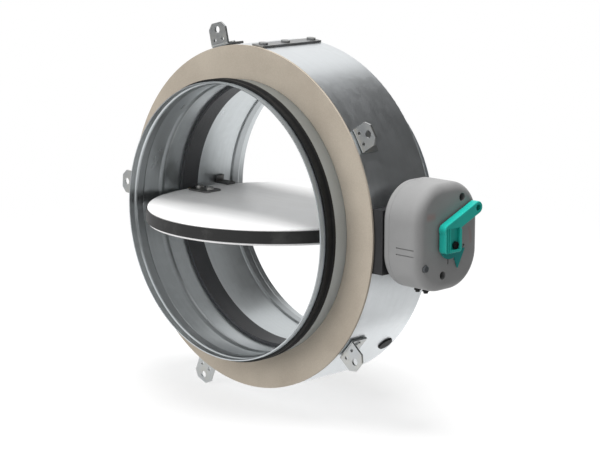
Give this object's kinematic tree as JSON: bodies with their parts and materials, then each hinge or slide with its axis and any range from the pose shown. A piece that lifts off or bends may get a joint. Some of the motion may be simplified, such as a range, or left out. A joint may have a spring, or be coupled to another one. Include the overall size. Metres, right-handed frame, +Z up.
{
  "type": "fire damper",
  "caption": "Round fire damper for a duct: a board-lined drum with fixing lugs, a blade that turns on two axles, and a side housing with a release button and a lever.",
  "frame": {"origin": "where the duct axis meets the blade's axle axis", "axes": "+Y along the duct from front to rear, +X along the axle towards the lever, +Z up"},
  "size_m": [0.3854, 0.237, 0.3346],
  "materials": {
    "galvanised_sheet": "hot-dip galvanised sheet with a soft sheen",
    "zinc_plated_steel": "zinc-plated steel",
    "turned_steel": "turned steel",
    "bronze": "sintered bronze",
    "brass": "turned brass",
    "spring_steel": "blued spring steel",
    "fire_board": "beige calcium silicate board",
    "blade_board": "off-white calcium silicate board",
    "black_rubber": "black rubber",
    "swelling_strip": "dark grey graphite strip",
    "black_plastic": "black moulded plastic",
    "grey_plastic": "grey moulded plastic",
    "teal_plastic": "teal moulded plastic"
  },
  "bodies": {
    "casing": {"tunnel": "galvanised_sheet", "drum_shell": "galvanised_sheet", "drum_seam_strip": "galvanised_sheet", "fixing_lug_1": "zinc_plated_steel", "fixing_lug_2": "zinc_plated_steel", "fixing_lug_3": "zinc_plated_steel", "fixing_lug_4": "zinc_plated_steel", "fixing_lug_5": "zinc_plated_steel", "lug_rivets": "zinc_plated_steel", "seam_rivets": "zinc_plated_steel", "open_stop": "zinc_plated_steel", "closed_stop": "zinc_plated_steel", "base_screws": "zinc_plated_steel", "cover_screws": "zinc_plated_steel", "latch_pin": "turned_steel", "trip_pin": "turned_steel", "drive_bush": "bronze", "idle_bush": "bronze", "fuse_holder": "brass", "fusible_link": "brass", "closing_spring": "spring_steel", "latch_spring": "spring_steel", "core_ring": "fire_board", "front_lip_seal": "black_rubber", "rear_lip_seal": "black_rubber", "spare_hole_plug": "black_rubber", "cable_entry_plugs": "black_rubber", "intumescent_strip": "swelling_strip", "mechanism_base": "black_plastic", "housing_back": "grey_plastic", "housing_cover": "grey_plastic"},
    "blade": {"blade_upper_plate": "blade_board", "blade_lower_plate": "blade_board", "blade_seal_front": "black_rubber", "blade_seal_rear": "black_rubber", "drive_bracket": "zinc_plated_steel", "idle_bracket": "zinc_plated_steel", "bracket_screws": "zinc_plated_steel", "bracket_nuts": "zinc_plated_steel", "drive_axle": "turned_steel", "idle_axle": "turned_steel", "axle_clip": "spring_steel", "spring_arbor": "turned_steel", "pointer": "teal_plastic", "handle": "teal_plastic", "handle_screw": "zinc_plated_steel"},
    "button": {"release_button": "black_plastic"},
    "pawl": {"latch_pawl": "black_plastic"}
  },
  "joints": [
    {"name": "blade_turn", "type": "hinge", "parent": "casing", "child": "blade", "pos_m": [0, 0, 0], "axis": [-1, 0, 0], "range_deg": [0, 90], "deforming": ["closing_spring"]},
    {"name": "button_press", "type": "slide", "parent": "casing", "child": "button", "axis": [-1, 0, 0], "range_m": [0, 0.002], "stiffness_N_per_m": 500, "springref_m": -0.002},
    {"name": "latch_lift", "type": "hinge", "parent": "casing", "child": "pawl", "pos_m": [0.1765, -0.02296, -0.01346], "axis": [0, 0.5057, -0.8627], "range_deg": [0, 17], "deforming": ["latch_spring"]}
  ],
  "couplings": [
    {"joint": "latch_lift", "follows": "button_press", "rad_per_m": 142.86}
  ]
}
